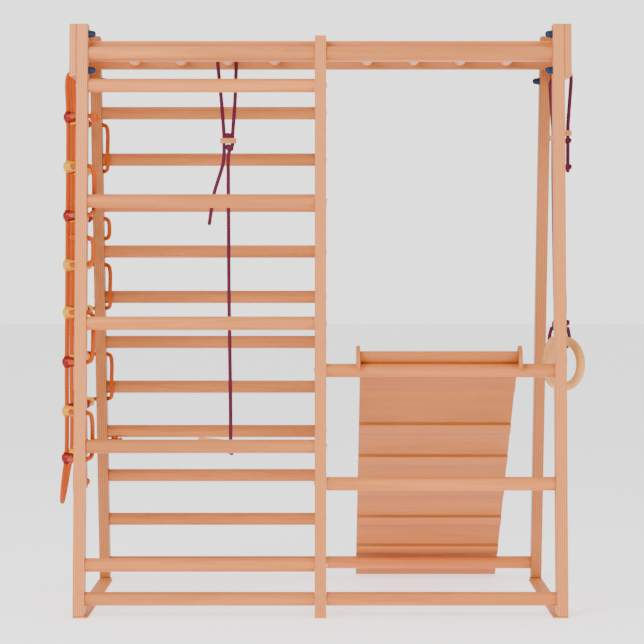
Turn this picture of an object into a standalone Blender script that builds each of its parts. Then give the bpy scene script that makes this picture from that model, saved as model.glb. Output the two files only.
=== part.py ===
"""Indoor climbing frame for a toddler: a wooden A-frame with wall bars, monkey bars, a hook-on slide board,
a climbing net, a swing rope with a stick seat and two hand rings.

Metres, +Z up. X runs across the front and Y from the front frame to the rear frame. Every size below is
from the middle of the front frame's foot line, which the frame_origin empty puts at ORIGIN.
"""

import math

import bmesh
import bpy
from mathutils import Matrix, Vector

# Driving dimensions
ORIGIN = (-0.0188, -0.4577, 0.0)
GAP = 0.0003  # between pieces that touch
HEIGHT = 1.546
POST_X = 0.6257  # middle of an outer post
POST_WIDTH = 0.030
POST_DEPTH = 0.050
MIDDLE_POST_HEIGHT = 1.515
FRONT_LEAN = 0.0938  # the front face moves back by this much for each metre of height
REAR_FOOT_Y = 0.791
REAR_LEAN = -0.185
STRAP_THICKNESS = 0.004
STRAP_WIDTH = 0.040
STRAP_LENGTH = 0.843
PLATE_THICKNESS = 0.018
PLATE_BOTTOM = 1.407
RUNG_RADIUS = 0.018
LADDER_Z = 1.4785
BEAM_DEPTH = 0.038
BEAM_HEIGHT = 0.053
FRONT_BEAM_Y = 0.1918  # front face of the front beam
REAR_BEAM_Y = 0.5118  # rear face of the rear beam
DOWEL_PITCH = 0.1277
FRONT_LEFT_RUNGS = (1.469, 1.384, 1.080, 0.760, 0.440, 0.134, 0.047)
FRONT_RIGHT_RUNGS = (1.469, 0.637, 0.3434, 0.047)
REAR_TOP_RUNG = 1.336
REAR_PITCH = 0.1288
REAR_LEFT_COUNT = 11
SLIDE_RUNG = 0.637
SLIDE_LEFT = 0.1036
SLIDE_RIGHT = 0.5143
SLIDE_SLOPE = math.radians(38.8)
PANEL_THICKNESS = 0.0155
PANEL_LIFT = 0.0184  # from the rung's axis to the panel's underside
PANEL_TOP = -0.0397
PANEL_END = 1.0387
CLEAT_FIRST = 0.2623
CLEAT_PITCH = 0.1523
CLEAT_COUNT = 5
CLEAT_WIDTH = 0.038
CLEAT_THICKNESS = 0.009
RAIL_START = 0.040
RAIL_END = 0.108
RAIL_THICKNESS = 0.012
HOOK_THICKNESS = 0.0105
HOOK_HEAD = 0.041
HOOK_RISE = 0.024
ROPE = 0.0095  # diameter of the burgundy ropes
NET_ROPE = 0.0118
NET_HOLE = 0.0082
NET_COLUMNS = 5
NET_ROWS = (1.304, 1.173, 1.043, 0.985, 0.913, 0.788, 0.658, 0.528, 0.406)
NET_TOP_Y = (0.205, 0.495)  # the first and last column at the plate
NET_FOOT_Y = (0.125, 0.610)  # and at the lowest row
NET_FRONT_X = -0.6680
NET_REAR_X = -0.6630
NET_ROW_INSIDE = 0.0140  # the rows run this much nearer the posts than the columns do
NET_BULGE = 0.0150  # how far a row's bight stands off the inside of a post
NET_FOOT = 0.285
RING_RADIUS = 0.0605  # middle of the ring's bar
RING_BAR = 0.012
WEB_HEIGHT = 0.008  # wood left under a ring rope's hole
ROPE_HOLE = 0.008
LOOP_RADIUS = 0.01495  # middle of the rope round the plate's lower edge
TOGGLE_LENGTH = 0.034
TOGGLE_DEPTH = 0.017
TOGGLE_HEIGHT = 0.014
SWING_TOGGLE_LENGTH = 0.044
TOGGLE_HOLE = 0.0053
STRAND_SPREAD = 0.0068  # from the toggle's middle to each of its holes
SWING_SPREAD = 0.0115
SWING_SHIFT = 0.0055  # the swing's toggle hangs this far to the side of its dowel
RING_TOGGLE_Z = 1.262
RING_TAIL_Z = 1.160
SWING_X = -2 * DOWEL_PITCH
SWING_Y = 0.350
SWING_TOGGLE_Z = 1.2485
STICK_Z = 0.4235
STICK_LENGTH = 0.180
STICK_RADIUS = 0.0125
STICK_TILT = math.radians(6.0)
STICK_DRIFT = 0.0112  # how far the rope's foot hangs from under its dowel
PLATE_X = POST_X + POST_WIDTH / 2 + GAP + PLATE_THICKNESS / 2

BEECH = ((0.66, 0.38, 0.22, 1), 0.5)
PLYWOOD = ((0.62, 0.38, 0.23, 1), 0.55)
ORANGE = ((0.76, 0.13, 0.02, 1), 0.7)
BURGUNDY = ((0.13, 0.02, 0.05, 1), 0.8)
PALE_WOOD = ((0.72, 0.46, 0.25, 1), 0.45)

# Each ring hangs at its own depth, is turned a little and has its own height.
RINGS = {
    "front": {"y": 0.213, "turn": math.radians(-52), "z": 0.650},
    "rear": {"y": 0.489, "turn": math.radians(63), "z": 0.643},
}


def clear_scene():
    for obj in list(bpy.data.objects):
        bpy.data.objects.remove(obj, do_unlink=True)


def wood_material(name, look):
    material = bpy.data.materials.new(name)
    material.use_nodes = True
    shader = material.node_tree.nodes["Principled BSDF"]
    shader.inputs["Base Color"].default_value = look[0]
    shader.inputs["Roughness"].default_value = look[1]
    shader.inputs["Metallic"].default_value = 0.0
    return material


def frame_origin():
    """The empty that every piece and pivot hangs on."""
    origin = bpy.data.objects.get("frame_origin")
    if origin is None:
        origin = bpy.data.objects.new("frame_origin", None)
        origin.location = ORIGIN
        bpy.context.scene.collection.objects.link(origin)
    return origin


def add_object(name, data, look, parent=None):
    obj = bpy.data.objects.new(name, data)
    bpy.context.scene.collection.objects.link(obj)
    data.materials.append(wood_material(name, look))
    obj.parent = parent or frame_origin()
    return obj


def add_empty(name, place, turn=(0, 0, 0)):
    empty = bpy.data.objects.new(name, None)
    empty.location = place
    empty.rotation_euler = turn
    empty.parent = frame_origin()
    bpy.context.scene.collection.objects.link(empty)
    return empty


def mesh_from(name, mesh_builder):
    mesh = bpy.data.meshes.new(name)
    bm = bmesh.new()
    mesh_builder(bm)
    bmesh.ops.recalc_face_normals(bm, faces=bm.faces)
    bm.to_mesh(mesh)
    bm.free()
    return mesh


def prism(name, outline, x_low, x_high):
    """A closed outline of (y, z) points, extruded from x_low to x_high."""

    def build(bm):
        corners = [bm.verts.new((x_low, y, z)) for y, z in outline]
        face = bm.faces.new(corners)
        out = bmesh.ops.extrude_face_region(bm, geom=[face])
        moved = [v for v in out["geom"] if isinstance(v, bmesh.types.BMVert)]
        bmesh.ops.translate(bm, verts=moved, vec=(x_high - x_low, 0, 0))

    return mesh_from(name, build)


def cylinder(name, radius, length, segments=28, axis="X"):
    """A round bar with its middle at the origin."""
    turn = {"X": Matrix.Rotation(math.pi / 2, 4, "Y"), "Y": Matrix.Rotation(math.pi / 2, 4, "X")}

    def build(bm):
        bmesh.ops.create_cone(
            bm, cap_ends=True, segments=segments, radius1=radius, radius2=radius, depth=length
        )
        bmesh.ops.transform(bm, matrix=turn.get(axis, Matrix.Identity(4)), verts=bm.verts)

    mesh = mesh_from(name, build)
    round_shading(mesh)
    return mesh


def round_shading(mesh):
    mesh.shade_smooth()
    mesh.set_sharp_from_angle(angle=math.radians(40))


def front_y(z):
    return FRONT_LEAN * z


def rear_y(z):
    return REAR_FOOT_Y + REAR_LEAN * z


def post_outline(face_y, foot, top):
    return [
        (face_y(foot), foot),
        (face_y(foot) + POST_DEPTH, foot),
        (face_y(top) + POST_DEPTH, top),
        (face_y(top), top),
    ]


def add_posts():
    columns = {"left": -POST_X, "middle": 0.0, "right": POST_X}
    for side, x in columns.items():
        top = MIDDLE_POST_HEIGHT if side == "middle" else HEIGHT
        foot = 0.0 if side == "middle" else STRAP_THICKNESS + GAP
        foot = 0.0 if side == "middle" else STRAP_THICKNESS + GAP
        foot = 0.0 if side == "middle" else STRAP_THICKNESS + GAP
        for frame, face_y in (("front", front_y), ("rear", rear_y)):
            name = f"{frame}_{side}_post"
            outline = post_outline(face_y, foot, top)
            mesh = prism(name, outline, x - POST_WIDTH / 2, x + POST_WIDTH / 2)
            post = add_object(name, mesh, PLYWOOD)
            if side == "left":
                places = [(x, face_y(z) + POST_DEPTH / 2, z) for z in NET_ROWS]
                drill(post, f"{name}_net_holes", NET_HOLE, POST_WIDTH + 0.01, places)


def add_rung(name, z, face_y, side):
    """A round rung between the middle post and an outer one."""
    inner = POST_WIDTH / 2 + GAP
    outer = POST_X - POST_WIDTH / 2 - GAP
    sign = -1 if side == "left" else 1
    rung = add_object(name, cylinder(name, RUNG_RADIUS, outer - inner), BEECH)
    rung.location = (sign * (inner + outer) / 2, face_y(z) + POST_DEPTH / 2, z)


def add_rungs():
    for side, heights in (("left", FRONT_LEFT_RUNGS), ("right", FRONT_RIGHT_RUNGS)):
        for i, z in enumerate(heights):
            add_rung(f"front_{side}_rung_{i + 1}", z, front_y, side)
    for i in range(REAR_LEFT_COUNT):
        add_rung(f"rear_left_rung_{i + 1:02d}", REAR_TOP_RUNG - i * REAR_PITCH, rear_y, "left")
    lowest = REAR_TOP_RUNG - (REAR_LEFT_COUNT - 1) * REAR_PITCH
    add_rung("rear_right_rung", lowest, rear_y, "right")


def cut(obj, cutter):
    cutter.hide_render = True
    cutter.display_type = "WIRE"
    modifier = obj.modifiers.new(cutter.name, "BOOLEAN")
    modifier.operation = "DIFFERENCE"
    modifier.object = cutter


def drill(obj, name, radius, length, places, axis="X", segments=16):
    """Cuts a round hole through a piece at each of the places."""

    def build(bm):
        for place in places:
            hole = cylinder(f"{name}_hole", radius, length, segments, axis)
            hole.transform(Matrix.Translation(place))
            bm.from_mesh(hole)
            bpy.data.meshes.remove(hole)

    cut(obj, add_object(name, mesh_from(name, build), BEECH, obj.parent))


def ring_web_z():
    """The middle of the strip of wood that a ring's rope hangs on."""
    return PLATE_BOTTOM + WEB_HEIGHT / 2


def add_plates():
    """The two side plates tie the tops of the front and rear frames together."""
    outline = [
        (front_y(PLATE_BOTTOM), PLATE_BOTTOM),
        (rear_y(PLATE_BOTTOM) + POST_DEPTH, PLATE_BOTTOM),
        (rear_y(HEIGHT) + POST_DEPTH, HEIGHT),
        (front_y(HEIGHT), HEIGHT),
    ]
    half = PLATE_THICKNESS / 2
    plates = {}
    for side, sign in (("left", -1), ("right", 1)):
        name = f"{side}_top_plate"
        mesh = prism(name, outline, sign * PLATE_X - half, sign * PLATE_X + half)
        plates[side] = add_object(name, mesh, PLYWOOD)
    places = [(-PLATE_X, net_y(column, HEIGHT), net_hole_z()) for column in range(NET_COLUMNS)]
    drill(plates["left"], "net_holes", NET_HOLE, 0.05, places)
    hole_z = PLATE_BOTTOM + WEB_HEIGHT + ROPE_HOLE
    places = [(PLATE_X, spec["y"], hole_z) for spec in RINGS.values()]
    drill(plates["right"], "ring_rope_holes", ROPE_HOLE, 0.05, places, segments=20)


def add_straps():
    """The thin straps lie on the floor and keep each pair of feet apart."""
    outer = POST_X + POST_WIDTH / 2
    inner = outer - STRAP_WIDTH
    taper_y = STRAP_LENGTH - 0.09
    taper_x = 0.012
    for side, sign in (("left", -1), ("right", 1)):
        corners = [
            (sign * outer, 0.0),
            (sign * inner, 0.0),
            (sign * inner, taper_y),
            (sign * (inner + taper_x), STRAP_LENGTH),
            (sign * outer, STRAP_LENGTH),
        ]

        def build(bm, corners=corners):
            face = bm.faces.new([bm.verts.new((x, y, 0.0)) for x, y in corners])
            out = bmesh.ops.extrude_face_region(bm, geom=[face])
            moved = [v for v in out["geom"] if isinstance(v, bmesh.types.BMVert)]
            bmesh.ops.translate(bm, verts=moved, vec=(0, 0, STRAP_THICKNESS))

        name = f"{side}_floor_strap"
        add_object(name, mesh_from(name, build), PLYWOOD)


def box_outline(y_low, y_high, z_low, z_high):
    return [(y_low, z_low), (y_high, z_low), (y_high, z_high), (y_low, z_high)]


def add_monkey_bars():
    """Two beams with round bars between them, across the top of the frame."""
    reach = PLATE_X - PLATE_THICKNESS / 2 - GAP
    low, high = LADDER_Z - BEAM_HEIGHT / 2, LADDER_Z + BEAM_HEIGHT / 2
    beams = {
        "front_beam": (FRONT_BEAM_Y, FRONT_BEAM_Y + BEAM_DEPTH),
        "rear_beam": (REAR_BEAM_Y - BEAM_DEPTH, REAR_BEAM_Y),
    }
    for name, (near, far) in beams.items():
        mesh = prism(name, box_outline(near, far, low, high), -reach, reach)
        add_object(name, mesh, BEECH)
    start = FRONT_BEAM_Y + BEAM_DEPTH + GAP
    end = REAR_BEAM_Y - BEAM_DEPTH - GAP
    for i, step in enumerate((-4, -3, -2, -1, 1, 2, 3, 4)):
        name = f"monkey_bar_{i + 1}"
        bar = add_object(name, cylinder(name, RUNG_RADIUS, end - start, axis="Y"), BEECH)
        bar.location = (step * DOWEL_PITCH, (start + end) / 2, LADDER_Z)


def panel_outline():
    """The slide panel's section with its climbing cleats underneath, as (down the slope, up from it)."""
    under, over = PANEL_LIFT, PANEL_LIFT + PANEL_THICKNESS
    outline = [(PANEL_TOP, under)]
    for i in range(CLEAT_COUNT):
        start = CLEAT_FIRST + i * CLEAT_PITCH
        end = start + CLEAT_WIDTH
        outline += [
            (start, under),
            (start, under - CLEAT_THICKNESS),
            (end, under - CLEAT_THICKNESS),
            (end, under),
        ]
    return outline + [(PANEL_END, under), (PANEL_END, over), (PANEL_TOP, over)]


def arc(centre, radius, start, end, steps):
    """Points of a circle from start to end, in degrees."""
    angles = [math.radians(start + (end - start) * i / steps) for i in range(steps + 1)]
    return [(centre[0] + radius * math.cos(a), centre[1] + radius * math.sin(a)) for a in angles]


def hook_outline():
    """A hook that goes over the rung, as (back, up) from the rung's axis, with its tail beside the panel."""
    slope = -math.degrees(SLIDE_SLOPE)
    down = Vector((math.cos(SLIDE_SLOPE), -math.sin(SLIDE_SLOPE)))
    up = Vector((math.sin(SLIDE_SLOPE), math.cos(SLIDE_SLOPE)))
    tip_radius = 0.0083
    mouth = arc((0, 0), PANEL_LIFT + 0.0002, 168, slope, 14)
    tail = [(0.033, 0.003), (0.045, 0.012), (0.064, 0.0285), (0.062, PANEL_LIFT + PANEL_THICKNESS)]
    tail = [tuple(down * along + up * across) for along, across in tail]
    head = arc((-0.002, HOOK_RISE), HOOK_HEAD, 22, 196, 14)
    tip = arc((-PANEL_LIFT - tip_radius - 0.0008, 0.0125), tip_radius, 200, 320, 5)
    return mouth + tail + head + tip


def add_slide():
    """The board hooks over a front rung and reaches the floor behind the rear frame."""
    axis = (0, front_y(SLIDE_RUNG) + POST_DEPTH / 2, SLIDE_RUNG)
    pivot = add_empty("slide_pivot", axis)
    slope = add_empty("slide_slope", (0, 0, 0), (-SLIDE_SLOPE, 0, 0))
    slope.parent = pivot
    panel = prism("slide_panel", panel_outline(), SLIDE_LEFT, SLIDE_RIGHT)
    add_object("slide_panel", panel, PLYWOOD, slope)
    low, high = PANEL_LIFT - RAIL_THICKNESS, PANEL_LIFT - GAP
    outline = box_outline(RAIL_START, RAIL_END, low, high)
    add_object("slide_stop_rail", prism("slide_stop_rail", outline, SLIDE_LEFT, SLIDE_RIGHT), BEECH, slope)
    left = SLIDE_LEFT - GAP - HOOK_THICKNESS
    right = SLIDE_RIGHT + GAP
    for side, x in (("left", left), ("right", right)):
        name = f"slide_hook_{side}"
        mesh = prism(name, hook_outline(), x, x + HOOK_THICKNESS)
        add_object(name, mesh, PLYWOOD, pivot)


def smooth_route(points, tolerance):
    """A smooth curve through the route's points, with more points where it bends."""
    route = [Vector(p) for p in points]
    route = [2 * route[0] - route[1]] + route + [2 * route[-1] - route[-2]]
    fine = []
    for a, b, c, d in zip(route, route[1:], route[2:], route[3:]):
        u, v, w = (b - a).length ** 0.5, (c - b).length ** 0.5, (d - c).length ** 0.5
        leave = (c - b) + v * ((b - a) / u - (c - a) / (u + v))
        arrive = (c - b) + v * ((d - c) / w - (d - b) / (v + w))
        for i in range(8):
            t = i / 8
            fine.append(
                (2 * t**3 - 3 * t**2 + 1) * b + (t**3 - 2 * t**2 + t) * leave
                + (3 * t**2 - 2 * t**3) * c + (t**3 - t**2) * arrive
            )
    fine.append(route[-2])
    return thin_out(fine, tolerance)


def thin_out(points, tolerance):
    """Drops the points that the straight line between their neighbours passes within the tolerance."""
    if len(points) < 3:
        return points
    start, end = points[0], points[-1]
    line = (end - start).normalized()
    offsets = [((p - start) - (p - start).dot(line) * line).length for p in points]
    far = max(range(1, len(points) - 1), key=lambda i: offsets[i])
    if offsets[far] < tolerance:
        return [start, end]
    return thin_out(points[: far + 1], tolerance)[:-1] + thin_out(points[far:], tolerance)


def rope_curve(name, points, diameter, resolution=2):
    curve = bpy.data.curves.new(name, "CURVE")
    curve.dimensions = "3D"
    curve.bevel_depth = diameter / 2
    curve.bevel_resolution = resolution
    curve.use_fill_caps = True
    spline = curve.splines.new("POLY")
    spline.points.add(len(points) - 1)
    for place, point in zip(points, spline.points):
        point.co = (*place, 1.0)
    return curve


def add_rope(name, route, diameter, look, parent=None, tolerance=0.0004):
    """A rope along a route, on the empty that it hangs from."""
    place = parent.location if parent else Vector()
    local = [Vector(p) - place for p in route]
    rope = add_object(name, rope_curve(name, smooth_route(local, tolerance), diameter), look, parent)
    rope.data.splines[0].use_smooth = True
    return rope


def ring_rope_route(spec):
    """From the tail up to the toggle, over the plate's lower edge, down through the toggle to the ring."""
    x, y, web = PLATE_X, spec["y"], ring_web_z()
    bar = spec["z"] + RING_RADIUS
    wrap = RING_BAR + ROPE / 2 + 0.0006
    side = Vector((math.sin(spec["turn"]), -math.cos(spec["turn"]), 0))
    spread = STRAND_SPREAD
    route = [
        (x + spread, y, RING_TAIL_Z),
        (x + spread, y, RING_TAIL_Z + 0.035),
        (x + spread, y, RING_TOGGLE_Z - 0.030),
        (x + spread, y, RING_TOGGLE_Z),
        (x + spread, y, RING_TOGGLE_Z + 0.018),
        (x + 0.0112, y, 1.345),
        (x + LOOP_RADIUS, y, web - 0.012),
    ]
    for angle in range(0, 181, 20):
        turn = math.radians(angle)
        route.append((x + LOOP_RADIUS * math.cos(turn), y, web + LOOP_RADIUS * math.sin(turn)))
    route += [
        (x - LOOP_RADIUS, y, web - 0.012),
        (x - 0.0112, y, 1.345),
        (x - spread, y, RING_TOGGLE_Z + 0.018),
        (x - spread, y, RING_TOGGLE_Z),
        (x - spread, y, RING_TOGGLE_Z - 0.060),
        (x - spread, y, RING_TAIL_Z + 0.010),
        (x - 0.005, y, 1.050),
        (x - 0.002, y, 0.880),
        (x, y, 0.800),
    ]
    near = [(0.10, 0.058), (0.45, 0.040), (0.82, 0.020)]
    route += [(x + side.x * wrap * out, y + side.y * wrap * out, bar + up) for out, up in near]
    for angle in range(0, 181, 30):
        turn = math.radians(angle)
        out = side * wrap * math.cos(turn)
        route.append((x + out.x, y + out.y, bar - wrap * math.sin(turn)))
    far = [(0.86, 0.018), (0.58, 0.034)]
    return route + [(x - side.x * wrap * out, y - side.y * wrap * out, bar + up) for out, up in far]


def add_toggle(name, place, parent, length=TOGGLE_LENGTH, spread=STRAND_SPREAD):
    """A small wooden slider with a hole for each strand."""

    def build(bm):
        bmesh.ops.create_cube(bm, size=1.0)
        size = (length, TOGGLE_DEPTH, TOGGLE_HEIGHT)
        bmesh.ops.scale(bm, vec=size, verts=bm.verts)
        upright = [e for e in bm.edges if abs(e.verts[0].co.z - e.verts[1].co.z) > 0.001]
        bmesh.ops.bevel(bm, geom=upright, offset=0.006, segments=4, affect="EDGES", profile=0.5)

    toggle = add_object(name, mesh_from(name, build), PALE_WOOD, parent)
    toggle.location = Vector(place) - parent.location
    places = [toggle.location + Vector((sign * spread, 0, 0)) for sign in (-1, 1)]
    drill(toggle, f"{name}_holes", TOGGLE_HOLE, 0.05, places, "Z")


def ring_mesh(name, spec):
    """A round wooden ring, hung by the top of its bar, with its plane turned about the vertical."""
    around, across = 40, 12

    def build(bm):
        rows = []
        for i in range(around):
            turn = 2 * math.pi * i / around
            rows.append([])
            for j in range(across):
                bend = 2 * math.pi * j / across
                reach = RING_RADIUS + RING_BAR * math.cos(bend)
                flat = reach * math.sin(turn)
                rows[-1].append(
                    bm.verts.new((flat, -RING_BAR * math.sin(bend), reach * math.cos(turn) - RING_RADIUS))
                )
        for i in range(around):
            near, far = rows[i], rows[(i + 1) % around]
            for j in range(across):
                k = (j + 1) % across
                bm.faces.new((near[j], far[j], far[k], near[k]))
        bmesh.ops.transform(bm, matrix=Matrix.Rotation(spec["turn"], 4, "Z"), verts=bm.verts)

    mesh = mesh_from(name, build)
    round_shading(mesh)
    return mesh


def add_ring_sets():
    for label, spec in RINGS.items():
        hang = add_empty(f"{label}_ring_hanger", (PLATE_X, spec["y"], ring_web_z()))
        add_rope(f"{label}_ring_rope", ring_rope_route(spec), ROPE, BURGUNDY, hang)
        add_toggle(f"{label}_ring_adjuster", (PLATE_X, spec["y"], RING_TOGGLE_Z), hang)
        name = f"{label}_ring"
        ring = add_object(name, ring_mesh(name, spec), PALE_WOOD, hang)
        ring.location = Vector((PLATE_X, spec["y"], spec["z"] + RING_RADIUS)) - hang.location


def swing_rope_route():
    """From the loose tail up to the toggle, over a monkey bar, down through the toggle to the stick."""
    x, y, top = SWING_X, SWING_Y, SWING_TOGGLE_Z
    loop = RUNG_RADIUS + ROPE / 2 + 0.0008
    foot = x + STICK_DRIFT
    left, right = x + SWING_SHIFT - SWING_SPREAD, x + SWING_SHIFT + SWING_SPREAD
    route = [
        (x - 0.0461, y - 0.004, 1.022),
        (x - 0.0396, y - 0.003, 1.067),
        (x - 0.0320, y - 0.001, 1.110),
        (x - 0.0195, y, 1.150),
        (x - 0.0085, y, top - 0.060),
        (x - 0.0058, y, top - 0.032),
        (left, y, top - 0.011),
        (left, y, top),
        (left, y, top + 0.011),
        (x - 0.0125, y, 1.350),
        (x - loop * 0.93, y, LADDER_Z - 0.030),
    ]
    for angle in range(180, -1, -20):
        turn = math.radians(angle)
        out = loop + 0.0040 * max(0.0, math.cos(turn))
        route.append((x + out * math.cos(turn), y, LADDER_Z + loop * math.sin(turn)))
    route += [
        (x + loop + 0.0035, y, LADDER_Z - 0.030),
        (x + 0.0235, y, 1.350),
        (right, y, top + 0.011),
        (right, y, top),
        (right, y, top - 0.011),
        (x + 0.0072, y, top - 0.032),
        (x + 0.0055, y, 1.150),
        (x + 0.0060, y, 1.050),
        (x + 0.0071, y, 0.824),
        (x + 0.0095, y, 0.650),
        (foot, y, 0.500),
        (foot, y, STICK_Z + 0.020),
        (foot, y, STICK_Z),
        (foot, y, STICK_Z - 0.015),
        (foot + 0.004, y, STICK_Z - 0.026),
    ]
    return route


def add_swing():
    """The swing rope with its toggle and the stick that a child sits on."""
    hang = add_empty("swing_hanger", (SWING_X, SWING_Y, LADDER_Z))
    add_rope("swing_rope", swing_rope_route(), ROPE, BURGUNDY, hang)
    place = (SWING_X + SWING_SHIFT, SWING_Y, SWING_TOGGLE_Z)
    add_toggle("swing_rope_adjuster", place, hang, SWING_TOGGLE_LENGTH, SWING_SPREAD)
    name = "swing_stick"
    mesh = cylinder(name, STICK_RADIUS, STICK_LENGTH, 24)
    mesh.transform(Matrix.Rotation(STICK_TILT, 4, "Y"))
    stick = add_object(name, mesh, PALE_WOOD, hang)
    stick.location = Vector((SWING_X + STICK_DRIFT, SWING_Y, STICK_Z)) - hang.location
    drill(stick, "stick_hole", TOGGLE_HOLE, 0.06, [stick.location], "Z")


def net_hole_z():
    return PLATE_BOTTOM + 0.014


def net_y(column, z):
    """A column's place from front to rear: the net widens downwards with the frame."""
    share = min(max((net_hole_z() - z) / (net_hole_z() - NET_ROWS[-1]), 0.0), 1.0)
    first = NET_TOP_Y[0] + (NET_FOOT_Y[0] - NET_TOP_Y[0]) * share
    last = NET_TOP_Y[1] + (NET_FOOT_Y[1] - NET_TOP_Y[1]) * share
    return first + (last - first) * column / (NET_COLUMNS - 1)


def net_x(column):
    return NET_FRONT_X + (NET_REAR_X - NET_FRONT_X) * column / (NET_COLUMNS - 1)


def column_route(column):
    """Down the outside of the net from the plate's hole to the lowest row."""
    x, top, y = net_x(column), net_hole_z(), net_y(column, HEIGHT)
    face = -PLATE_X - PLATE_THICKNESS / 2
    route = [(-PLATE_X, y, top), (face + 0.004, y, top), (face - 0.0015, y, top - 0.0003)]
    route += [(face - 0.0090, y, top - 0.0065)]
    route += [(face - 0.0125, net_y(column, 1.390), 1.390), (x - 0.0015, net_y(column, 1.345), 1.345)]
    return route + [(x, net_y(column, z), z) for z in (NET_ROWS[0], NET_ROWS[3], NET_ROWS[6], NET_ROWS[8])]


def foot_route(column):
    """The bight that joins the feet of two columns and leans away from the frame."""
    x, near, far = net_x(column), net_y(column, 0), net_y(column + 1, 0)
    lean = 0.017 if column == 0 else 0.008
    half = (far - near) / 2
    route = []
    for across, drop in ((-0.93, 0.045), (-0.72, 0.082), (-0.38, 0.110), (0, 0.122)):
        route.append((x - lean * drop / 0.122, near + half + across * half, NET_ROWS[-1] - drop))
    return route + [(p[0], 2 * (near + half) - p[1], p[2]) for p in reversed(route[:-1])]


def lacing_route(column):
    """Along the inside of the plate from one column's hole to the next."""
    face = -PLATE_X + PLATE_THICKNESS / 2
    near, far, z = net_y(column, HEIGHT), net_y(column + 1, HEIGHT), net_hole_z()
    turn = [(-0.004, 0.0, 0.0), (0.0015, 0.0003, 0.0), (0.0070, 0.0060, 0.001), (0.0078, 0.018, 0.002)]
    start = [(face + out, near + along, z - drop) for out, along, drop in turn]
    end = [(face + out, far - along, z - drop) for out, along, drop in reversed(turn)]
    return start + [(face + 0.0080, (near + far) / 2, z - 0.003)] + end


def uprights_route():
    """One rope up and down the net's columns, from a knot behind the plate to a loose foot."""
    inside = -PLATE_X + PLATE_THICKNESS / 2
    top = net_y(0, HEIGHT)
    route = [(inside + 0.026, top, net_hole_z() - 0.004), (inside + 0.010, top, net_hole_z())]
    route += [(inside - 0.003, top, net_hole_z())]
    route += column_route(0) + foot_route(0) + column_route(1)[::-1] + lacing_route(1)
    route += column_route(2) + foot_route(2) + column_route(3)[::-1] + lacing_route(3)
    route += column_route(4)
    last = NET_COLUMNS - 1
    route += [(net_x(last) - 0.001, net_y(last, 0) + 0.002, 0.345)]
    return route + [(net_x(last) + 0.0005, net_y(last, 0), NET_FOOT)]


def post_middle(side, z):
    return (front_y(z) if side > 0 else rear_y(z)) + POST_DEPTH / 2


def bight_half(reach, has_rung):
    """From a bight's middle to the post's hole, as (out from the post, sideways, along)."""
    in_post = [(0.0015, 0.0, reach - 0.0004), (-0.007, 0.0, reach)]
    if not has_rung:
        return [(NET_BULGE, 0.004, reach - 0.020), (0.0110, 0.0, reach - 0.0050)] + in_post
    if reach < 0.05:
        return [(0.0150, 0.0220, 0.50 * reach), (0.0115, 0.0115, 0.84 * reach)] + in_post
    bend = [(NET_BULGE, 0.0215, 0.021), (NET_BULGE, 0.006, reach - 0.022), (0.0110, 0.001, reach - 0.0050)]
    return bend + in_post


def bight_route(side, high, low):
    """Down the inside of a post between two rows, round the rung if there is one between them."""
    rear_rungs = [REAR_TOP_RUNG - i * REAR_PITCH for i in range(REAR_LEFT_COUNT)]
    passed = [z for z in (FRONT_LEFT_RUNGS if side > 0 else rear_rungs) if low < z < high]
    middle = passed[0] if passed else (high + low) / 2
    inner = -POST_X + POST_WIDTH / 2
    upper = [(out, by, middle + up) for out, by, up in reversed(bight_half(high - middle, passed))]
    lower = [(out, by, middle - down) for out, by, down in bight_half(middle - low, passed)]
    turn = [(NET_BULGE, 0.0255 if passed else 0.005, middle)]
    return [(inner + out, post_middle(side, z) + side * by, z) for out, by, z in upper + turn + lower]


def row_route(z):
    """Along the outside of the frame from the front post's hole to the rear post's."""
    face = -POST_X - POST_WIDTH / 2
    route = []
    for side, column in ((1, 0), (-1, NET_COLUMNS - 1)):
        y = post_middle(side, z)
        x = net_x(column) + NET_ROW_INSIDE
        ends = [(face + 0.007, y, z), (face - 0.0015, y + side * 0.0003, z)]
        ends += [(face - 0.0095, y + side * 0.0045, z), (x, y + side * 0.0150, z)]
        route += ends if side > 0 else ends[::-1]
    sag = [(net_x(c) + NET_ROW_INSIDE, net_y(c, z), z - 0.002) for c in (1, 2, 3)]
    return route[:4] + sag + route[4:]


def rows_route():
    """One rope back and forth through the two left posts, from a knot at the top to a loose end."""
    inner = -POST_X + POST_WIDTH / 2
    first, last = post_middle(1, NET_ROWS[0]), post_middle(-1, NET_ROWS[-1])
    route = [(inner + 0.028, first + 0.004, NET_ROWS[0] - 0.012)]
    route += [(inner + 0.014, first, NET_ROWS[0] - 0.001)]
    route += [(inner + 0.002, first, NET_ROWS[0]), (inner - 0.007, first, NET_ROWS[0])]
    for i, z in enumerate(NET_ROWS):
        route += row_route(z) if i % 2 == 0 else row_route(z)[::-1]
        if i < len(NET_ROWS) - 1:
            route += bight_route(-1 if i % 2 == 0 else 1, z, NET_ROWS[i + 1])
    route += [(inner - 0.007, last, NET_ROWS[-1]), (inner + 0.002, last - 0.0005, NET_ROWS[-1])]
    route += [(inner + 0.013, last - 0.007, NET_ROWS[-1])]
    route += [(inner + 0.026, last - 0.020, NET_ROWS[-1] + 0.002)]
    return route + [(inner + 0.040, last - 0.028, NET_ROWS[-1] + 0.006)]


def add_net():
    """The climbing net: one rope for its columns, and one for its rows, which the left posts hold."""
    add_rope("net_uprights_rope", uprights_route(), NET_ROPE, ORANGE, tolerance=0.0007)
    add_rope("net_rows_rope", rows_route(), NET_ROPE, ORANGE, tolerance=0.0009)


def build():
    clear_scene()
    add_posts()
    add_rungs()
    add_plates()
    add_straps()
    add_monkey_bars()
    add_slide()
    add_ring_sets()
    add_swing()
    add_net()


build()
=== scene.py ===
"""The looks of a toddler's climbing frame: lacquered beech and plywood, braided ropes and moulded clips.

Metres, in the frame's own space. The sizes at the top are measured from the middle of the front frame's
foot line, and at() moves them to the row's origin.
"""

import math
import random

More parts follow.
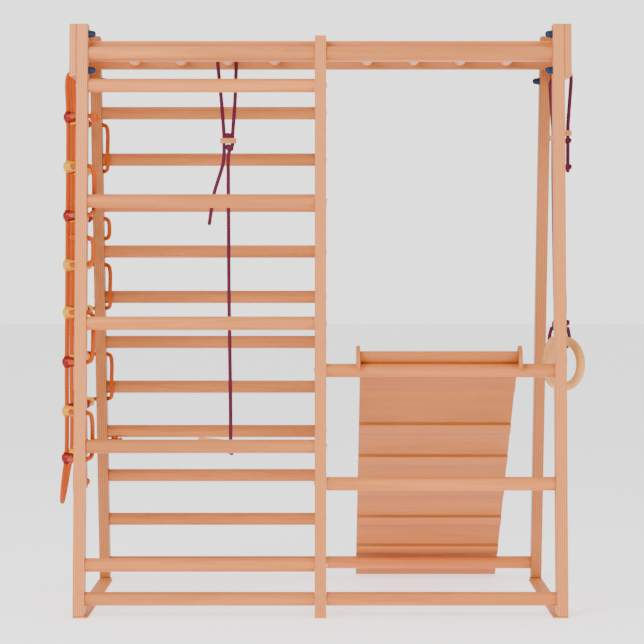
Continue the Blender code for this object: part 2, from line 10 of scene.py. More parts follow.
import bmesh
import bpy
from mathutils import Matrix, Vector

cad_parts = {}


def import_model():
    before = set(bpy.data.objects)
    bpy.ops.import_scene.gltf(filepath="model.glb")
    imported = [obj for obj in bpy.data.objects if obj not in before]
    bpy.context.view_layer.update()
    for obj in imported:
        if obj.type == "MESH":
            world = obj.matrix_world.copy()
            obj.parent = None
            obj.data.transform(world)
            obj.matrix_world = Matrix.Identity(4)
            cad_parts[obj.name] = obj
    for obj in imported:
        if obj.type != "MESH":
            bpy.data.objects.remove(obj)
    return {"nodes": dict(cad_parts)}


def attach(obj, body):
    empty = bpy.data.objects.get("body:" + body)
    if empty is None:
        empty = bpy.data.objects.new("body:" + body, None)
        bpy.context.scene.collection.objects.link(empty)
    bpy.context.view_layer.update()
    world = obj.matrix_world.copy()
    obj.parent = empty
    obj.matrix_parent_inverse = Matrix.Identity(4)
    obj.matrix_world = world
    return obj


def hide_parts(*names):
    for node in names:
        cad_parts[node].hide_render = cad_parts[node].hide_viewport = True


# Sizes of the frame
PLY_PITCH = 0.0058
ORIGIN = Vector((-0.0188, -0.4577, 0.0))
POST_X = 0.6257
POST_HALF = 0.015
POST_DEPTH = 0.050
PLATE_X = 0.650
PLATE_HALF = 0.009
FRONT_LEAN = 0.0938
REAR_FOOT_Y = 0.791
REAR_LEAN = -0.185
FRONT_LEFT_RUNGS = (1.469, 1.384, 1.080, 0.760, 0.440, 0.134, 0.047)
FRONT_RIGHT_RUNGS = (1.469, 0.637, 0.3434, 0.047)
REAR_LEFT_RUNGS = tuple(1.336 - 0.1288 * i for i in range(11))
REAR_RIGHT_RUNGS = (0.048,)
BOLTS = (1.5205, 1.424)
SLIDE_SLOPE = math.radians(38.8)
CLEAT_FIRST = 0.2623
CLEAT_PITCH = 0.1523
CLEAT_LEAD = 0.010  # from where a cleat's painted pattern begins to its upper edge
CLEAT_END = 0.048  # from the same place to its lower edge
SLIDE_RUNG_Z = 0.637
RING_RADIUS = 0.0605
RING_BAR = 0.012
RINGS = {
    "front": {"y": 0.213, "turn": math.radians(-52), "z": 0.650},
    "rear": {"y": 0.489, "turn": math.radians(63), "z": 0.643},
}

# Ropes
ROPE = 0.0095
BRAID = 0.0103  # the same rope over its braid
NET_ROPE = 0.0118
NET_COLUMNS = 5
NET_ROWS = (1.304, 1.173, 1.043, 0.985, 0.913, 0.788, 0.658, 0.528, 0.406)
NET_TOP_Y = (0.205, 0.495)
NET_FOOT_Y = (0.125, 0.610)
NET_FRONT_X = -0.6680
NET_REAR_X = -0.6630
NET_ROW_INSIDE = 0.0140
NET_BULGE = 0.0150
NET_FOOT = 0.285
NET_HOLE_Z = 1.421
NET_BARE_ROW = 0.985  # the row that has no clips
CLIP_COLOURS = "RYRYYRYR"  # red and yellow down the first column
LOOP_RADIUS = 0.01495
STRAND_SPREAD = 0.0068
RING_TOGGLE_Z = 1.262
RING_TAIL_Z = 1.160
WEB_Z = 1.411
SWING_X = -0.2554
SWING_Y = 0.350
LADDER_Z = 1.4785
SWING_TOGGLE_Z = 1.2485
SWING_SPREAD = 0.0115
SWING_SHIFT = 0.0055
STICK_Z = 0.4235
STICK_DRIFT = 0.0112
STICK_TILT = math.radians(6.0)

# The camera stands in front of the frame and looks down and aside by these angles.
CAMERA = (0.0, -6.4, 0.92)
CAMERA_DOWN = math.radians(1.38200)
CAMERA_ASIDE = math.radians(0.03456)
CAMERA_LENS = 139.025
CAMERA_SENSOR = 36.0


def at(place):
    return Vector(place) + ORIGIN


# Materials


def add(tree, kind, inputs=None, **settings):
    """A node with its settings and its inputs, each of which is a value or another node's output."""
    node = tree.nodes.new(kind)
    for key, value in settings.items():
        setattr(node, key, value)
    for key, value in (inputs or {}).items():
        if isinstance(value, bpy.types.NodeSocket):
            tree.links.new(value, node.inputs[key])
        else:
            node.inputs[key].default_value = value
    return node


def calc(tree, operation, *values):
    return add(tree, "ShaderNodeMath", dict(enumerate(values)), operation=operation).outputs[0]


def blend_colour(tree, share, low, high):
    """A mix of two colours. Inputs 0, 6 and 7 are its factor and its colours, and output 2 is the mix."""
    inputs = {0: share, 6: low, 7: high}
    return add(tree, "ShaderNodeMix", inputs, data_type="RGBA").outputs[2]


def noise_node(tree, vector, scale, detail):
    inputs = {"Vector": vector, "Scale": scale, "Detail": detail}
    return add(tree, "ShaderNodeTexNoise", inputs).outputs[0]


def dot_node(tree, vector, direction):
    inputs = {0: vector, 1: direction}
    return add(tree, "ShaderNodeVectorMath", inputs, operation="DOT_PRODUCT").outputs["Value"]


def add_bump(tree, shader, strength, distance, height):
    bump = add(tree, "ShaderNodeBump", {"Strength": strength, "Distance": distance, "Height": height})
    tree.links.new(bump.outputs[0], shader.inputs["Normal"])


def spread(tree, value, low, high, to_low, to_high):
    inputs = {"Value": value, 1: low, 2: high, 3: to_low, 4: to_high}
    return add(tree, "ShaderNodeMapRange", inputs).outputs[0]


def new_material(name):
    material = bpy.data.materials.new(name)
    material.use_nodes = True
    tree = material.node_tree
    return material, tree, tree.nodes["Principled BSDF"]


def shade(tone, amount):
    return tuple(min(c * amount, 1.0) for c in tone[:3]) + (1.0,)


def wood(name, tone, grain, seed, ply=None, contrast=1.0, cleat_glue_and_shade=False):
    """Lacquered wood whose grain runs along an axis. ply is the direction its layers are stacked in."""
    material, tree, shader = new_material(name)
    random.seed(seed)
    place = [random.uniform(-5, 5) for _ in range(3)]
    coord = add(tree, "ShaderNodeTexCoord")
    moved = add(tree, "ShaderNodeVectorMath", {0: coord.outputs["Object"], 1: place}, operation="ADD")

    def stretched(along, across):
        scale = [across] * 3
        scale["XYZ".index(grain)] = along
        inputs = {0: moved.outputs[0], 1: scale}
        return add(tree, "ShaderNodeVectorMath", inputs, operation="MULTIPLY").outputs[0]

    def noise(vector, detail, distortion=0.0):
        inputs = {"Vector": vector, "Scale": 1.0, "Detail": detail}
        inputs.update({"Roughness": 0.55, "Distortion": distortion})
        return add(tree, "ShaderNodeTexNoise", inputs).outputs[0]

    broad = noise(stretched(1.1, 11.0), 3.0, 0.6)
    bands = calc(tree, "SINE", calc(tree, "MULTIPLY", noise(stretched(0.7, 16.0), 2.0, 0.8), 34.0))
    fine = noise(stretched(6.0, 240.0), 4.0)
    flecks = noise(stretched(70.0, 900.0), 1.0)
    share = spread(tree, broad, 0.32, 0.68, 0.0, 1.0)
    dull, bright = shade(tone, 1 - 0.17 * contrast), shade(tone, 1 + 0.10 * contrast)
    colour = blend_colour(tree, share, dull, bright)
    dark = spread(tree, bands, 0.35, 1.0, 0.0, 0.30 * contrast)
    colour = blend_colour(tree, dark, colour, shade((tone[0], tone[1] * 0.86, tone[2] * 0.76), 0.74))
    streak = spread(tree, fine, 0.38, 0.66, 0.0, 0.24 * contrast)
    colour = blend_colour(tree, streak, colour, shade(tone, 0.70))
    fleck = spread(tree, flecks, 0.60, 0.70, 0.0, 0.40)
    colour = blend_colour(tree, fleck, colour, shade(tone, 0.50))
    height = calc(tree, "SUBTRACT", calc(tree, "MULTIPLY", fine, 0.5), fleck)
    if ply:
        across = calc(tree, "ABSOLUTE", dot_node(tree, coord.outputs["Normal"], ply))
        edge = calc(tree, "LESS_THAN", across, 0.5)
        wave = calc(tree, "MULTIPLY", noise(stretched(3.0, 9.0), 2.0), 0.0011)
        depth = calc(tree, "ADD", dot_node(tree, coord.outputs["Object"], ply), wave)
        lines = calc(tree, "SINE", calc(tree, "MULTIPLY", depth, 2 * math.pi / PLY_PITCH))
        pale = (tone[0] * 1.10, tone[1] * 1.22, tone[2] * 1.36, 1.0)
        warm = (tone[0] * 0.94, tone[1] * 0.84, tone[2] * 0.74, 1.0)
        glue = (tone[0] * 0.52, tone[1] * 0.42, tone[2] * 0.34, 1.0)
        plies = blend_colour(tree, spread(tree, lines, -0.25, 0.25, 0.0, 1.0), warm, pale)
        seam = spread(tree, calc(tree, "ABSOLUTE", lines), 0.0, 0.34, 0.75, 0.0)
        plies = blend_colour(tree, seam, plies, glue)
        plies = blend_colour(tree, streak, plies, shade(tone, 0.6))
        colour = blend_colour(tree, edge, colour, plies)
        ridges = calc(tree, "MULTIPLY", calc(tree, "MULTIPLY", lines, edge), 0.25)
        height = calc(tree, "ADD", height, ridges)
    # The slide's cleats get glue lines darkened as painted shadow, painted light on their faces and painted
    # shadow below them.
    if cleat_glue_and_shade:
        colour = cleat_glue_and_painted_shade(tree, coord, colour, tone)
    tree.links.new(colour, shader.inputs["Base Color"])
    tree.links.new(spread(tree, fine, 0.3, 0.7, 0.36, 0.52), shader.inputs["Roughness"])
    add_bump(tree, shader, 0.22, 0.0006, height)
    shader.inputs["Specular IOR Level"].default_value = 0.25
    shader.inputs["Coat Weight"].default_value = 0.05
    shader.inputs["Coat Roughness"].default_value = 0.30
    return material


def cleat_glue_and_painted_shade(tree, coord, colour, tone):
    """Painted light and shade on the slide's cleats, on the faces that don't look up: a glue line at each
    upper edge, darkened further as painted shadow, the cleat's face painted lighter as painted light, and a
    painted shadow below it.
    """
    down = (0, math.cos(SLIDE_SLOPE), -math.sin(SLIDE_SLOPE))
    up = (0, math.sin(SLIDE_SLOPE), math.cos(SLIDE_SLOPE))
    rung = at((0, FRONT_LEAN * SLIDE_RUNG_Z + POST_DEPTH / 2, SLIDE_RUNG_Z))
    first = rung.dot(Vector(down)) + CLEAT_FIRST
    begin = first - CLEAT_PITCH - CLEAT_LEAD
    along = dot_node(tree, coord.outputs["Object"], down)
    from_below = calc(tree, "LESS_THAN", dot_node(tree, coord.outputs["Normal"], up), 0.5)
    inside = calc(tree, "MULTIPLY", calc(tree, "GREATER_THAN", along, begin), from_below)
    below_last = calc(tree, "LESS_THAN", along, first + CLEAT_PITCH * 4 + 0.045)
    inside = calc(tree, "MULTIPLY", inside, below_last)
    phase = calc(tree, "MODULO", calc(tree, "SUBTRACT", along, begin), CLEAT_PITCH)
    near = calc(tree, "ABSOLUTE", calc(tree, "SUBTRACT", phase, CLEAT_LEAD))
    # The dark line at each cleat's upper edge: partly a glue line, partly painted shadow.
    line = calc(tree, "MULTIPLY", inside, spread(tree, near, 0.0004, 0.0020, 0.50, 0.0))
    # Painted shadow on the panel below each cleat.
    shadow = calc(tree, "MULTIPLY", inside, spread(tree, phase, CLEAT_END, 0.085, 0.30, 0.0))
    shadow = calc(tree, "MULTIPLY", shadow, calc(tree, "GREATER_THAN", phase, CLEAT_END))
    # The cleat's face painted lighter towards its upper edge: painted light.
    face = calc(tree, "MULTIPLY", inside, spread(tree, phase, 0.012, CLEAT_END, 0.40, 0.10))
    face = calc(tree, "MULTIPLY", face, calc(tree, "LESS_THAN", phase, CLEAT_END))
    colour = blend_colour(tree, face, colour, shade(tone, 1.25))
    colour = blend_colour(tree, shadow, colour, shade(tone, 0.72))
    return blend_colour(tree, line, colour, shade(tone, 0.34))


def braid(name, tone, pitch):
    """A braided rope: two sets of strands cross at each pitch along the rope, which its UV map measures."""
    material, tree, shader = new_material(name)
    coord = add(tree, "ShaderNodeTexCoord")
    uv = add(tree, "ShaderNodeSeparateXYZ", {0: coord.outputs["UV"]})
    along = calc(tree, "MULTIPLY", uv.outputs[0], 2 * math.pi / pitch)
    around = calc(tree, "MULTIPLY", uv.outputs[1], 2 * math.pi * 4)
    right = calc(tree, "SINE", calc(tree, "ADD", along, around))
    left = calc(tree, "SINE", calc(tree, "SUBTRACT", along, around))
    strands = calc(tree, "ABSOLUTE", calc(tree, "MULTIPLY", right, left))
    fuzz = noise_node(tree, coord.outputs["Object"], 900.0, 2.0)
    wear = noise_node(tree, coord.outputs["Object"], 26.0, 3.0)
    # The grooves between strands are painted darker as painted shade, and the strand tops lighter as
    # painted light.
    lit_tops_shaded_grooves = spread(tree, strands, 0.0, 0.55, 0.0, 1.0)
    colour = blend_colour(tree, lit_tops_shaded_grooves, shade(tone, 0.66), shade(tone, 1.06))
    colour = blend_colour(tree, spread(tree, fuzz, 0.35, 0.7, 0.0, 0.35), colour, shade(tone, 1.35))
    colour = blend_colour(tree, spread(tree, wear, 0.4, 0.75, 0.0, 0.30), colour, shade(tone, 0.80))
    tree.links.new(colour, shader.inputs["Base Color"])
    tree.links.new(spread(tree, fuzz, 0.3, 0.7, 0.62, 0.86), shader.inputs["Roughness"])
    height = calc(tree, "ADD", calc(tree, "POWER", strands, 0.6), calc(tree, "MULTIPLY", fuzz, 0.25))
    add_bump(tree, shader, 0.6, 0.0006, height)
    shader.inputs["Specular IOR Level"].default_value = 0.12
    shader.inputs["Sheen Weight"].default_value = 0.08
    shader.inputs["Sheen Roughness"].default_value = 0.5
    return material


def moulded(name, tone, rough=(0.22, 0.34), metallic=0.0):
    """Moulded plastic or plated steel, with slight mottling and fine scuffs."""
    material, tree, shader = new_material(name)
    coord = add(tree, "ShaderNodeTexCoord")
    mottle = noise_node(tree, coord.outputs["Object"], 55.0, 4.0)
    scuff = noise_node(tree, coord.outputs["Object"], 420.0, 2.0)
    share = spread(tree, mottle, 0.3, 0.7, 0.0, 1.0)
    colour = blend_colour(tree, share, shade(tone, 0.88), shade(tone, 1.10))
    tree.links.new(colour, shader.inputs["Base Color"])
    tree.links.new(spread(tree, scuff, 0.35, 0.7, *rough), shader.inputs["Roughness"])
    add_bump(tree, shader, 0.12, 0.0003, scuff)
    shader.inputs["Metallic"].default_value = metallic
    shader.inputs["Specular IOR Level"].default_value = 0.22
    return material


# Shapes


def mesh_object(name, body, material, bm, smooth_angle=None):
    mesh = bpy.data.meshes.new(name)
    bmesh.ops.recalc_face_normals(bm, faces=bm.faces)
    bm.to_mesh(mesh)
    bm.free()
    obj = bpy.data.objects.new(name, mesh)
    bpy.context.scene.collection.objects.link(obj)
    mesh.materials.append(material)
    if smooth_angle:
        mesh.shade_smooth()
        mesh.set_sharp_from_angle(angle=math.radians(smooth_angle))
    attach(obj, body)
    return obj


def smooth_route(points, step):
    """Evenly spaced points along a smooth curve through the route's points."""
    route = [Vector(p) for p in points]
    route = [2 * route[0] - route[1]] + route + [2 * route[-1] - route[-2]]
    fine = []
    for a, b, c, d in zip(route, route[1:], route[2:], route[3:]):
        u, v, w = (b - a).length ** 0.5, (c - b).length ** 0.5, (d - c).length ** 0.5
        leave = (c - b) + v * ((b - a) / u - (c - a) / (u + v))
        arrive = (c - b) + v * ((d - c) / w - (d - b) / (v + w))
        count = max(4, int((c - b).length / step * 2))
        for i in range(count):
            t = i / count
            fine.append(
                (2 * t**3 - 3 * t**2 + 1) * b + (t**3 - 2 * t**2 + t) * leave
                + (3 * t**2 - 2 * t**3) * c + (t**3 - t**2) * arrive
            )
    fine.append(route[-2])
    along = [0.0]
    for p, q in zip(fine, fine[1:]):
        along.append(along[-1] + (q - p).length)
    count = max(2, round(along[-1] / step))
    even, k = [], 0
    for i in range(count + 1):
        want = along[-1] * i / count
        while k < len(fine) - 2 and along[k + 1] < want:
            k += 1
        share = (want - along[k]) / max(along[k + 1] - along[k], 1e-9)
        even.append(fine[k].lerp(fine[k + 1], min(max(share, 0.0), 1.0)))
    return even


def tube_into(bm, points, radius, sides=12, closed=False):
    """A tube along points, with rounded ends. Its UV map is in metres along it and 0 to 1 round it."""
    layer = bm.loops.layers.uv.verify()
    count = len(points)
    tangents = []
    for i in range(count):
        if closed:
            ahead, behind = points[(i + 1) % count], points[i - 1]
        else:
            ahead, behind = points[min(i + 1, count - 1)], points[max(i - 1, 0)]
        tangents.append((ahead - behind).normalized())
    side = tangents[0].orthogonal().normalized()
    rings, lengths, run = [], [], 0.0
    for i, (point, tangent) in enumerate(zip(points, tangents)):
        if i:
            run += (point - points[i - 1]).length
            side = (tangents[i - 1].rotation_difference(tangent) @ side).normalized()
        up = tangent.cross(side)
        stops = [(0.0, 1.0)]
        if not closed and i == 0:
            stops = [(-0.45, 0.45), (-0.25, 0.80), (0.0, 1.0)]
        elif not closed and i == count - 1:
            stops = [(0.0, 1.0), (0.25, 0.80), (0.45, 0.45)]
        for shift, wide in stops:
            ring = []
            for j in range(sides):
                a = 2 * math.pi * j / sides
                out = (side * math.cos(a) + up * math.sin(a)) * radius * wide
                ring.append(bm.verts.new(point + tangent * shift * radius + out))
            rings.append(ring)
            lengths.append(run + shift * radius)
    pairs = list(zip(rings, rings[1:], lengths, lengths[1:]))
    for near, far, start, end in pairs:
        for j in range(sides):
            k = (j + 1) % sides
            face = bm.faces.new((near[j], near[k], far[k], far[j]))
            spots = ((start, j), (start, j + 1), (end, j + 1), (end, j))
            for loop, (u, v) in zip(face.loops, spots):
                loop[layer].uv = (u, v / sides)
            face.smooth = True
    if closed:
        turn = min(range(sides), key=lambda j: (rings[0][j].co - rings[-1][0].co).length)
        for j in range(sides):
            a, b = (j + turn) % sides, (j + 1 + turn) % sides
            face = bm.faces.new((rings[-1][j], rings[-1][(j + 1) % sides], rings[0][b], rings[0][a]))
            face.smooth = True
            spots = ((run, j), (run, j + 1), (run + 0.001, j + 1), (run + 0.001, j))
            for loop, (u, v) in zip(face.loops, spots):
                loop[layer].uv = (u, v / sides)
    else:
        bm.faces.new(rings[0][::-1])
        bm.faces.new(rings[-1])


def tube(name, body, material, points, radius, sides=12):
    bm = bmesh.new()
    tube_into(bm, points, radius, sides)
    return mesh_object(name, body, material, bm)


def knot_into(bm, place, direction, rope, tight=1.0):
    """An overhand knot pulled tight: a trefoil of the same rope, its middle at place."""
    turn = Vector(direction).to_track_quat("Z", "Y").to_matrix()
    points = []
    for i in range(54):
        t = 2 * math.pi * i / 54
        x, y = math.sin(t) + 2 * math.sin(2 * t), math.cos(t) - 2 * math.cos(2 * t)
        p = Vector((x, y, -math.sin(3 * t) * 1.5))
        points.append(Vector(place) + turn @ (p * rope * 0.225 * tight))
    tube_into(bm, points, rope * 0.48, 10, closed=True)


def knots(name, body, slot, material, places, rope):
    bm = bmesh.new()
    for place, direction, tight in places:
        knot_into(bm, place, direction, rope, tight)
    return mesh_object(name, body, material, bm)


def lathe_into(bm, profile, matrix, segments=24, lobes=0, depth=0.0):
    """Turns a profile of (out, along) points about the matrix's Z axis. Lobes make a grip."""
    rows = []
    for out, along in profile:
        row = []
        for j in range(segments):
            a = 2 * math.pi * j / segments
            reach = out * (1 - depth * (0.5 - 0.5 * math.cos(lobes * a))) if lobes else out
            row.append(bm.verts.new(matrix @ Vector((reach * math.cos(a), reach * math.sin(a), along))))
        rows.append(row)
    for near, far in zip(rows, rows[1:]):
        for j in range(segments):
            k = (j + 1) % segments
            bm.faces.new((near[j], near[k], far[k], far[j]))
    bm.faces.new(rows[0][::-1])
    bm.faces.new(rows[-1])


def facing(place, axis):
    """The matrix that puts a lathe's Z axis along an axis at a place."""
    turn = Vector(axis).to_track_quat("Z", "Y").to_matrix().to_4x4()
    return Matrix.Translation(at(place)) @ turn


def softened(node, body, material, width, segments=3, hull=False):
    """A CAD node's shape with its edges rounded. hull leaves out the holes that ropes fill."""
    bm = bmesh.new()
    bm.from_mesh(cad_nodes[node].data)
    bmesh.ops.remove_doubles(bm, verts=bm.verts, dist=1e-6)
    if hull:
        out = bmesh.ops.convex_hull(bm, input=bm.verts)
        spare = {g for key in ("geom_interior", "geom_unused") for g in out[key]}
        bmesh.ops.delete(bm, geom=[g for g in spare if isinstance(g, bmesh.types.BMVert)], context="VERTS")
        kept = {g for g in out["geom"] if isinstance(g, bmesh.types.BMFace)}
        bmesh.ops.delete(bm, geom=[f for f in bm.faces if f not in kept], context="FACES_ONLY")
        loose = [v for v in bm.verts if not v.link_faces]
        bmesh.ops.delete(bm, geom=loose, context="VERTS")
    bmesh.ops.dissolve_limit(bm, angle_limit=math.radians(1.5), verts=bm.verts, edges=bm.edges)
    obj = mesh_object(f"{node}_finished", body, material, bm)
    bevel = obj.modifiers.new("rounded", "BEVEL")
    bevel.width = width
    bevel.segments = segments
    bevel.limit_method = "ANGLE"
    bevel.angle_limit = math.radians(35)
    bevel.harden_normals = False
    obj.data.shade_smooth()
    obj.data.set_sharp_from_angle(angle=math.radians(50))
    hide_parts(node)


# Ropes


def post_middle(side, z):
    return (FRONT_LEAN * z if side > 0 else REAR_FOOT_Y + REAR_LEAN * z) + POST_DEPTH / 2


def net_y(column, z):
    share = min(max((NET_HOLE_Z - z) / (NET_HOLE_Z - NET_ROWS[-1]), 0.0), 1.0)
    first = NET_TOP_Y[0] + (NET_FOOT_Y[0] - NET_TOP_Y[0]) * share
    last = NET_TOP_Y[1] + (NET_FOOT_Y[1] - NET_TOP_Y[1]) * share
    return first + (last - first) * column / (NET_COLUMNS - 1)


def net_x(column):
    return NET_FRONT_X + (NET_REAR_X - NET_FRONT_X) * column / (NET_COLUMNS - 1)


def column_route(column):
    """Down the outside of the net from the plate's hole to the lowest row."""
    x, top, y = net_x(column), NET_HOLE_Z, net_y(column, 2.0)
    face = -PLATE_X - PLATE_HALF
    route = [(-PLATE_X, y, top), (face + 0.004, y, top), (face - 0.0015, y, top - 0.0003)]
    route += [(face - 0.0090, y, top - 0.0065)]
    route += [(face - 0.0125, net_y(column, 1.390), 1.390), (x - 0.0015, net_y(column, 1.345), 1.345)]
    return route + [(x, net_y(column, z), z) for z in (NET_ROWS[0], NET_ROWS[3], NET_ROWS[6], NET_ROWS[8])]


def foot_route(column):
    """The bight that joins the feet of two columns and leans away from the frame."""
    x, near, far = net_x(column), net_y(column, 0), net_y(column + 1, 0)
    lean = 0.017 if column == 0 else 0.008
    half = (far - near) / 2
    route = []
    for across, drop in ((-0.93, 0.045), (-0.72, 0.082), (-0.38, 0.110), (0, 0.122)):
        route.append((x - lean * drop / 0.122, near + half + across * half, NET_ROWS[-1] - drop))
    return route + [(p[0], 2 * (near + half) - p[1], p[2]) for p in reversed(route[:-1])]


def lacing_route(column):
    """Along the inside of the plate from one column's hole to the next."""
    face = -PLATE_X + PLATE_HALF
    near, far, z = net_y(column, 2.0), net_y(column + 1, 2.0), NET_HOLE_Z
    turn = [(-0.004, 0.0, 0.0), (0.0015, 0.0003, 0.0), (0.0070, 0.0060, 0.001), (0.0078, 0.018, 0.002)]
    start = [(face + out, near + along, z - drop) for out, along, drop in turn]
    end = [(face + out, far - along, z - drop) for out, along, drop in reversed(turn)]
    return start + [(face + 0.0080, (near + far) / 2, z - 0.003)] + end


def uprights_route():
    inside = -PLATE_X + PLATE_HALF
    top = net_y(0, 2.0)
    route = [(inside + 0.026, top, NET_HOLE_Z - 0.004), (inside + 0.010, top, NET_HOLE_Z)]
    route += [(inside - 0.003, top, NET_HOLE_Z)]
    route += column_route(0) + foot_route(0) + column_route(1)[::-1] + lacing_route(1)
    route += column_route(2) + foot_route(2) + column_route(3)[::-1] + lacing_route(3)
    route += column_route(4)
    last = NET_COLUMNS - 1
    route += [(net_x(last) - 0.001, net_y(last, 0) + 0.002, 0.345)]
    return route + [(net_x(last) + 0.0005, net_y(last, 0), NET_FOOT)]


def bight_half(reach, has_rung):
    in_post = [(0.0015, 0.0, reach - 0.0004), (-0.007, 0.0, reach)]
    if not has_rung:
        return [(NET_BULGE, 0.004, reach - 0.020), (0.0110, 0.0, reach - 0.0050)] + in_post
    if reach < 0.05:
        return [(0.0150, 0.0220, 0.50 * reach), (0.0115, 0.0115, 0.84 * reach)] + in_post
    bend = [(NET_BULGE, 0.0215, 0.021), (NET_BULGE, 0.006, reach - 0.022), (0.0110, 0.001, reach - 0.0050)]
    return bend + in_post


def bight_route(side, high, low):
    """Down the inside of a post between two rows, round the rung if there is one between them."""
    passed = [z for z in (FRONT_LEFT_RUNGS if side > 0 else REAR_LEFT_RUNGS) if low < z < high]
    middle = passed[0] if passed else (high + low) / 2
    inner = -POST_X + POST_HALF
    upper = [(out, by, middle + up) for out, by, up in reversed(bight_half(high - middle, passed))]
    lower = [(out, by, middle - down) for out, by, down in bight_half(middle - low, passed)]
    turn = [(NET_BULGE, 0.0255 if passed else 0.005, middle)]
    return [(inner + out, post_middle(side, z) + side * by, z) for out, by, z in upper + turn + lower]


def row_route(z):
    """Along the outside of the frame from the front post's hole to the rear post's."""
    face = -POST_X - POST_HALF
    route = []
    for side, column in ((1, 0), (-1, NET_COLUMNS - 1)):
        y = post_middle(side, z)
        x = net_x(column) + NET_ROW_INSIDE
        ends = [(face + 0.007, y, z), (face - 0.0015, y + side * 0.0003, z)]
        ends += [(face - 0.0095, y + side * 0.0045, z), (x, y + side * 0.0150, z)]
        route += ends if side > 0 else ends[::-1]
    sag = [(net_x(c) + NET_ROW_INSIDE, net_y(c, z), z - 0.002) for c in (1, 2, 3)]
    return route[:4] + sag + route[4:]


def rows_route():
    inner = -POST_X + POST_HALF
    first, last = post_middle(1, NET_ROWS[0]), post_middle(-1, NET_ROWS[-1])
    route = [(inner + 0.028, first + 0.004, NET_ROWS[0] - 0.012)]
    route += [(inner + 0.014, first, NET_ROWS[0] - 0.001)]
    route += [(inner + 0.002, first, NET_ROWS[0]), (inner - 0.007, first, NET_ROWS[0])]
    for i, z in enumerate(NET_ROWS):
        route += row_route(z) if i % 2 == 0 else row_route(z)[::-1]
        if i < len(NET_ROWS) - 1:
            route += bight_route(-1 if i % 2 == 0 else 1, z, NET_ROWS[i + 1])
    route += [(inner - 0.007, last, NET_ROWS[-1]), (inner + 0.002, last - 0.0005, NET_ROWS[-1])]
    route += [(inner + 0.013, last - 0.007, NET_ROWS[-1])]
    route += [(inner + 0.026, last - 0.020, NET_ROWS[-1] + 0.002)]
    return route + [(inner + 0.040, last - 0.028, NET_ROWS[-1] + 0.006)]


def ring_rope_route(spec):
    """From the tail up to the adjuster, over the plate's edge, down and round the ring to its knot."""
    x, y, web = PLATE_X, spec["y"], WEB_Z
    bar = spec["z"] + RING_RADIUS
    wrap = RING_BAR + ROPE / 2 + 0.0006
    side = Vector((math.sin(spec["turn"]), -math.cos(spec["turn"]), 0))
    route = [
        (x + STRAND_SPREAD, y, RING_TAIL_Z),
        (x + STRAND_SPREAD, y, RING_TAIL_Z + 0.035),
        (x + STRAND_SPREAD, y, RING_TOGGLE_Z - 0.030),
        (x + STRAND_SPREAD, y, RING_TOGGLE_Z),
        (x + STRAND_SPREAD, y, RING_TOGGLE_Z + 0.018),
        (x + 0.0112, y, 1.345),
        (x + LOOP_RADIUS, y, web - 0.012),
    ]
    for angle in range(0, 181, 20):
        turn = math.radians(angle)
        route.append((x + LOOP_RADIUS * math.cos(turn), y, web + LOOP_RADIUS * math.sin(turn)))
    route += [
        (x - LOOP_RADIUS, y, web - 0.012),
        (x - 0.0112, y, 1.345),
        (x - STRAND_SPREAD, y, RING_TOGGLE_Z + 0.018),
        (x - STRAND_SPREAD, y, RING_TOGGLE_Z),
        (x - STRAND_SPREAD, y, RING_TOGGLE_Z - 0.060),
        (x - STRAND_SPREAD, y, RING_TAIL_Z + 0.010),
        (x - 0.005, y, 1.050),
        (x - 0.002, y, 0.880),
        (x, y, 0.800),
    ]
    near = [(0.10, 0.058), (0.45, 0.040), (0.82, 0.020)]
    route += [(x + side.x * wrap * out, y + side.y * wrap * out, bar + up) for out, up in near]
    for angle in range(0, 181, 30):
        turn = math.radians(angle)
        out = side * wrap * math.cos(turn)
        route.append((x + out.x, y + out.y, bar - wrap * math.sin(turn)))
    far = [(0.86, 0.018), (0.58, 0.034)]
    return route + [(x - side.x * wrap * out, y - side.y * wrap * out, bar + up) for out, up in far]


def swing_rope_route():
    """From the loose tail up to the adjuster, over a monkey bar, down through it to the stick."""
    x, y, top = SWING_X, SWING_Y, SWING_TOGGLE_Z
    loop = 0.018 + ROPE / 2 + 0.0008
    foot = x + STICK_DRIFT
    left, right = x + SWING_SHIFT - SWING_SPREAD, x + SWING_SHIFT + SWING_SPREAD
    route = [
        (x - 0.0461, y - 0.004, 1.022),
        (x - 0.0396, y - 0.003, 1.067),
        (x - 0.0320, y - 0.001, 1.110),
        (x - 0.0195, y, 1.150),
        (x - 0.0085, y, top - 0.060),
        (x - 0.0058, y, top - 0.032),
        (left, y, top - 0.011),
        (left, y, top),
        (left, y, top + 0.011),
        (x - 0.0125, y, 1.350),
        (x - loop * 0.93, y, LADDER_Z - 0.030),
    ]
    for angle in range(180, -1, -20):
        turn = math.radians(angle)
        out = loop + 0.0040 * max(0.0, math.cos(turn))
        route.append((x + out * math.cos(turn), y, LADDER_Z + loop * math.sin(turn)))
    route += [
        (x + loop + 0.0035, y, LADDER_Z - 0.030),
        (x + 0.0235, y, 1.350),
        (right, y, top + 0.011),
        (right, y, top),
        (right, y, top - 0.011),
        (x + 0.0072, y, top - 0.032),
        (x + 0.0055, y, 1.150),
        (x + 0.0060, y, 1.050),
        (x + 0.0071, y, 0.824),
        (x + 0.0095, y, 0.650),
        (foot, y, 0.500),
        (foot, y, STICK_Z + 0.020),
        (foot, y, STICK_Z),
        (foot, y, STICK_Z - 0.015),
        (foot + 0.004, y, STICK_Z - 0.026),
    ]
    return route


def rope(node, body, slot, material, route, diameter, exit, lay, ends):
    """One of the CAD ropes as braided cord along its own route; the knots at its ends are made apart from
    it.
    """
    step = 0.0045
    points = smooth_route([at(p) for p in route], step)
    obj = tube(f"{node}_braided", body, material, points, diameter / 2, 14)
    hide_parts(node)


